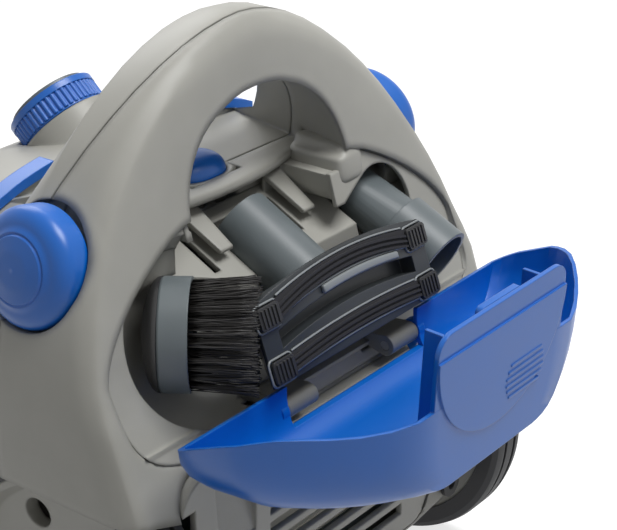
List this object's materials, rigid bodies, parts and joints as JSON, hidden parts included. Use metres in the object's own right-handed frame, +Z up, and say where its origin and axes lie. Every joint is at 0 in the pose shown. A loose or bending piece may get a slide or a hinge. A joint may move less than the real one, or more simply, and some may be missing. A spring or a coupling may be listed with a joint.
{
  "type": "cylinder vacuum cleaner",
  "caption": "Cylinder floor cleaner with an arched carry handle, an open rear tool store with a hinged lid, a hose inlet and rolling wheels.",
  "frame": {"origin": "on the floor, under the middle of the body's width and length with the lid open", "axes": "+Z up, +Y from the rear tool store towards the hose inlet and nose, +X to the body's right when looking along +Y"},
  "size_m": [0.296, 0.4157, 0.34],
  "materials": {
    "housing": "satin warm grey ABS",
    "shade": "matt dark grey ABS",
    "blue": "satin royal blue ABS",
    "slate": "matt slate polypropylene",
    "dark": "matt black nylon",
    "rubber": "matt black rubber",
    "tyre": "matt grey rubber",
    "steel": "zinc plated steel",
    "alloy": "cast aluminium",
    "paper": "filter paper"
  },
  "bodies": {
    "body": {"rear_housing": "housing", "front_housing": "housing", "base_pan": "shade", "tool_tray": "housing", "hinge_bracket": "shade", "exhaust_filter": "paper", "filter_frame": "slate", "motor_casing": "dark", "reel_spindle": "shade", "cord_outlet": "rubber", "dust_bag": "paper", "bag_plate": "slate", "duct_seal": "rubber", "button_spring": "steel", "power_spring": "steel", "rewind_spring": "steel", "rear_axle": "steel", "left_trim": "blue", "right_trim": "blue", "crevice_tool": "slate", "nozzle_head": "slate", "nozzle_strips": "dark", "nozzle_pads": "dark", "nozzle_neck": "slate", "brush_back": "dark", "brush_rim": "slate", "brush_bristles": "dark"},
    "lid": {"lid_shell": "blue", "lid_latch": "blue", "hinge_pins": "steel"},
    "exhaust_panel": {"exhaust_cover": "housing"},
    "chamber_cover": {"bag_cover": "housing", "inlet_duct": "slate", "cover_pins": "steel"},
    "swivel_collar": {"hose_collar": "blue"},
    "release_button": {"latch_button": "blue"},
    "power_button": {"power_pedal": "blue"},
    "rewind_button": {"rewind_pedal": "blue"},
    "left_wheel": {"left_tyre": "tyre", "left_hub": "housing", "left_cap": "blue"},
    "right_wheel": {"right_tyre": "tyre", "right_hub": "housing", "right_cap": "blue"},
    "caster_swivel": {"caster_fork": "shade", "caster_axle": "steel"},
    "caster_roller": {"caster_wheel": "tyre"},
    "motor_rotor": {"motor_shaft": "steel", "fan_wheel": "alloy"},
    "reel": {"cord_reel": "dark"}
  },
  "joints": [
    {"name": "lid_hinge", "type": "hinge", "parent": "body", "child": "lid", "pos_m": [0, -0.12, 0.17], "axis": [1, 0, 0], "range_deg": [-93, 0]},
    {"name": "exhaust_tilt", "type": "hinge", "parent": "body", "child": "exhaust_panel", "pos_m": [0, -0.115, 0.05], "axis": [1, 0, 0], "range_deg": [0, 25]},
    {"name": "cover_hinge", "type": "hinge", "parent": "body", "child": "chamber_cover", "pos_m": [0, 0.1612, 0.19575], "axis": [-1, 0, 0], "range_deg": [0, 65]},
    {"name": "collar_swivel", "type": "hinge", "parent": "chamber_cover", "child": "swivel_collar", "pos_m": [0, 0.063, 0.253], "axis": [0, 0.7431, 0.6691], "continuous": true},
    {"name": "button_press", "type": "slide", "parent": "body", "child": "release_button", "axis": [0, 0, -1], "range_m": [0, 0.004], "stiffness_N_per_m": 300, "springref_m": -0.003, "deforming": ["button_spring"]},
    {"name": "power_press", "type": "slide", "parent": "body", "child": "power_button", "axis": [0.9781, 0, -0.2079], "range_m": [0, 0.005], "stiffness_N_per_m": 1500, "springref_m": -0.003, "deforming": ["power_spring"]},
    {"name": "rewind_press", "type": "slide", "parent": "body", "child": "rewind_button", "axis": [-0.9781, 0, -0.2079], "range_m": [0, 0.005], "stiffness_N_per_m": 1500, "springref_m": -0.003, "deforming": ["rewind_spring"]},
    {"name": "left_wheel_roll", "type": "hinge", "parent": "body", "child": "left_wheel", "pos_m": [-0.117, -0.059, 0.08], "axis": [-1, 0, 0], "continuous": true},
    {"name": "right_wheel_roll", "type": "hinge", "parent": "body", "child": "right_wheel", "pos_m": [0.117, -0.059, 0.08], "axis": [1, 0, 0], "continuous": true},
    {"name": "caster_turn", "type": "hinge", "parent": "body", "child": "caster_swivel", "pos_m": [0, 0.155, 0.034], "axis": [0, 0, 1], "continuous": true},
    {"name": "caster_roll", "type": "hinge", "parent": "caster_swivel", "child": "caster_roller", "pos_m": [0, 0.143, 0.017], "axis": [1, 0, 0], "continuous": true},
    {"name": "motor_spin", "type": "hinge", "parent": "body", "child": "motor_rotor", "pos_m": [-0.03, -0.082, 0.093], "axis": [0, 1, 0], "continuous": true},
    {"name": "reel_spin", "type": "hinge", "parent": "body", "child": "reel", "pos_m": [0.044, -0.031, 0.112], "axis": [1, 0, 0], "continuous": true}
  ]
}
